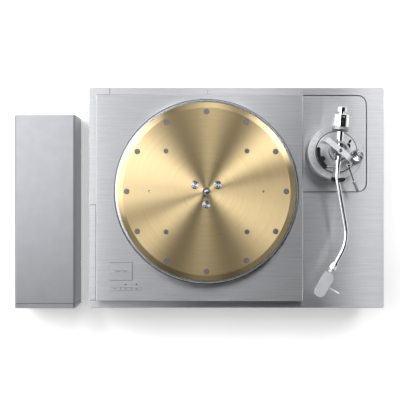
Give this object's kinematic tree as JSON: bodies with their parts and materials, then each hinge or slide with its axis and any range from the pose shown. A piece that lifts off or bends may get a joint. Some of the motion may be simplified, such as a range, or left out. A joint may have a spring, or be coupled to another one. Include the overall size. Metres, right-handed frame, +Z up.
{
  "type": "turntable",
  "caption": "Direct-drive turntable with a heavy plinth, a solid brass platter, a gimbal tonearm and a separate control unit.",
  "frame": {"origin": "on the surface the set stands on, at the middle of the footprint of turntable and control unit together", "axes": "+X to the right and +Y to the back as seen by the user, +Z up"},
  "size_m": [0.6672, 0.3968, 0.1905],
  "materials": {
    "plinth_aluminium": "long brushed, clear anodised",
    "panel_aluminium": "long brushed, clear anodised",
    "moulded_composite": "moulded, fine grain",
    "cast_aluminium": "die cast, blasted",
    "turned_aluminium": "turned, fine",
    "foot_aluminium": "turned, satin anodised",
    "spun_brass": "spun brushed, lacquered",
    "tungsten": "sintered, ground",
    "chrome_steel": "polished",
    "bearing_steel": "ground",
    "bronze": "sintered",
    "magnet_ferrite": "sintered",
    "copper_winding": "enamelled wire",
    "circuit_board": "solder mask",
    "rubber_black": "moulded",
    "satin_silver": "satin anodised",
    "black_plastic": "moulded",
    "grey_anodised": "fine blasted, anodised",
    "smoked_acrylic": "polished",
    "lens_clear": "polished"
  },
  "bodies": {
    "base": {"plinth_top_plate": "plinth_aluminium", "plinth_core": "moulded_composite", "plinth_bottom_plate": "cast_aluminium", "arm_station_covers": "plinth_aluminium", "motor_panel": "panel_aluminium", "motor_chassis": "cast_aluminium", "stator": "copper_winding", "bearing_housing": "bearing_steel", "bearing_bushes": "bronze", "switch_board": "circuit_board", "indicator_lenses": "lens_clear", "arm_base_plate": "plinth_aluminium", "terminal_panel": "black_plastic", "control_cover": "grey_anodised", "case_screws": "chrome_steel", "control_tray": "cast_aluminium", "rear_sockets": "black_plastic", "control_front_panel": "grey_anodised", "display_window": "smoked_acrylic", "control_circuit": "circuit_board", "control_feet": "rubber_black"},
    "foot_fl": {"foot_front_left": "foot_aluminium"},
    "foot_fr": {"foot_front_right": "foot_aluminium"},
    "foot_rl": {"foot_rear_left": "foot_aluminium"},
    "foot_rr": {"foot_rear_right": "foot_aluminium"},
    "start_stop": {"start_stop_button": "panel_aluminium"},
    "key_33": {"speed_key_33": "panel_aluminium"},
    "key_45": {"speed_key_45": "panel_aluminium"},
    "key_78": {"speed_key_78": "panel_aluminium"},
    "platter": {"platter_body": "turned_aluminium", "brass_plate": "spun_brass", "damping_rubber": "rubber_black", "tungsten_weights": "tungsten", "plate_screws": "bearing_steel", "platter_fixing_screws": "chrome_steel", "rotor_yoke": "bearing_steel", "rotor_magnets": "magnet_ferrite", "spindle_shaft": "bearing_steel"},
    "height_dial": {"height_ring": "satin_silver"},
    "turret": {"arm_turret": "satin_silver", "pivot_bridge": "satin_silver", "pivot_screws": "bearing_steel", "arm_rest": "black_plastic"},
    "height_lock": {"lock_knob": "chrome_steel"},
    "anti_skate": {"anti_skate_dial": "chrome_steel"},
    "lifter": {"arm_lifter": "black_plastic"},
    "lever": {"cue_lever": "chrome_steel"},
    "rest_catch": {"arm_rest_clamp": "black_plastic"},
    "gimbal": {"gimbal_ring": "satin_silver"},
    "tonearm": {"arm_tube": "chrome_steel", "rear_shaft": "chrome_steel", "auxiliary_weight": "chrome_steel"},
    "weight_slide": {"counterweight_sleeve": "chrome_steel"},
    "weight": {"counterweight": "chrome_steel"},
    "force_ring": {"tracking_force_ring": "satin_silver"},
    "shell_nut": {"locking_collar": "chrome_steel"},
    "shell": {"headshell": "satin_silver", "finger_lift": "chrome_steel"},
    "power": {"power_button": "satin_silver"},
    "pitch": {"pitch_key": "satin_silver"}
  },
  "joints": [
    {"name": "foot_fl_height", "type": "slide", "parent": "base", "child": "foot_fl", "axis": [0, 0, -1], "range_m": [0, 0.004]},
    {"name": "foot_fr_height", "type": "slide", "parent": "base", "child": "foot_fr", "axis": [0, 0, -1], "range_m": [0, 0.004]},
    {"name": "foot_rl_height", "type": "slide", "parent": "base", "child": "foot_rl", "axis": [0, 0, -1], "range_m": [0, 0.004]},
    {"name": "foot_rr_height", "type": "slide", "parent": "base", "child": "foot_rr", "axis": [0, 0, -1], "range_m": [0, 0.004]},
    {"name": "start_stop_press", "type": "slide", "parent": "base", "child": "start_stop", "axis": [0, 0, -1], "range_m": [0, 0.001], "stiffness_N_per_m": 900, "springref_m": -0.002},
    {"name": "key_33_press", "type": "slide", "parent": "base", "child": "key_33", "axis": [0, 0, -1], "range_m": [0, 0.0008], "stiffness_N_per_m": 300, "springref_m": -0.002},
    {"name": "key_45_press", "type": "slide", "parent": "base", "child": "key_45", "axis": [0, 0, -1], "range_m": [0, 0.0008], "stiffness_N_per_m": 300, "springref_m": -0.002},
    {"name": "key_78_press", "type": "slide", "parent": "base", "child": "key_78", "axis": [0, 0, -1], "range_m": [0, 0.0008], "stiffness_N_per_m": 300, "springref_m": -0.002},
    {"name": "platter_spin", "type": "hinge", "parent": "base", "child": "platter", "pos_m": [0.0156, 0.0124, 0.145], "axis": [0, 0, -1], "continuous": true},
    {"name": "turret_rise", "type": "slide", "parent": "base", "child": "turret", "axis": [0, 0, 1], "range_m": [0, 0.015]},
    {"name": "height_dial_turn", "type": "hinge", "parent": "base", "child": "height_dial", "pos_m": [0.2418, 0.0813, 0.125], "axis": [0, 0, 1], "range_deg": [0, 300]},
    {"name": "height_lock_turn", "type": "hinge", "parent": "turret", "child": "height_lock", "pos_m": [0.2606, 0.0915, 0.145], "axis": [0, 0, 1], "range_deg": [0, 90]},
    {"name": "anti_skate_turn", "type": "hinge", "parent": "turret", "child": "anti_skate", "pos_m": [0.2775, 0.0744, 0.145], "axis": [0, 0, 1], "range_deg": [0, 270]},
    {"name": "cue_lever_lift", "type": "hinge", "parent": "turret", "child": "lever", "pos_m": [0.2613, 0.058, 0.15], "axis": [-0.9296, -0.3685, 0], "range_deg": [0, 28]},
    {"name": "lifter_rise", "type": "slide", "parent": "turret", "child": "lifter", "axis": [0, 0, 1], "range_m": [0, 0.004]},
    {"name": "rest_catch_fold", "type": "hinge", "parent": "turret", "child": "rest_catch", "pos_m": [0.24791, 0.03224, 0.174], "axis": [-0.0715, -0.9974, 0], "range_deg": [0, 90]},
    {"name": "arm_swing", "type": "hinge", "parent": "turret", "child": "gimbal", "pos_m": [0.2418, 0.0813, 0.168], "axis": [0, 0, -1], "range_deg": [0, 54]},
    {"name": "arm_tilt", "type": "hinge", "parent": "gimbal", "child": "tonearm", "pos_m": [0.2418, 0.0813, 0.168], "axis": [-0.9974, 0.0715, 0], "range_deg": [-1, 10]},
    {"name": "counterweight_turn", "type": "hinge", "parent": "weight_slide", "child": "weight", "pos_m": [0.2418, 0.0813, 0.168], "axis": [-0.0715, -0.9974, 0], "range_deg": [-720, 720]},
    {"name": "counterweight_slide", "type": "slide", "parent": "tonearm", "child": "weight_slide", "axis": [-0.0715, -0.9974, 0], "range_m": [-0.003, 0.003]},
    {"name": "force_ring_turn", "type": "hinge", "parent": "weight", "child": "force_ring", "pos_m": [0.2418, 0.0813, 0.168], "axis": [-0.0715, -0.9974, 0], "range_deg": [-180, 180]},
    {"name": "shell_nut_turn", "type": "hinge", "parent": "tonearm", "child": "shell_nut", "pos_m": [0.23609, -0.1104, 0.168], "axis": [-0.4802, -0.8771, 0], "range_deg": [0, 45]},
    {"name": "shell_draw", "type": "slide", "parent": "tonearm", "child": "shell", "axis": [-0.4802, -0.8771, 0], "range_m": [0, 0.012]},
    {"name": "power_press", "type": "slide", "parent": "base", "child": "power", "axis": [0, 1, 0], "range_m": [0, 0.002], "stiffness_N_per_m": 400, "springref_m": -0.002},
    {"name": "pitch_key_rock", "type": "hinge", "parent": "base", "child": "pitch", "pos_m": [-0.2428, -0.1898, 0.053], "axis": [0, 0, 1], "range_deg": [-3, 3], "stiffness_Nm_per_rad": 0.05}
  ],
  "couplings": [
    {"joint": "height_dial_turn", "follows": "turret_rise", "rad_per_m": 349.07},
    {"joint": "lifter_rise", "follows": "cue_lever_lift", "m_per_rad": 0.0081851},
    {"joint": "counterweight_slide", "follows": "counterweight_turn", "m_per_rad": 0.00023873}
  ]
}
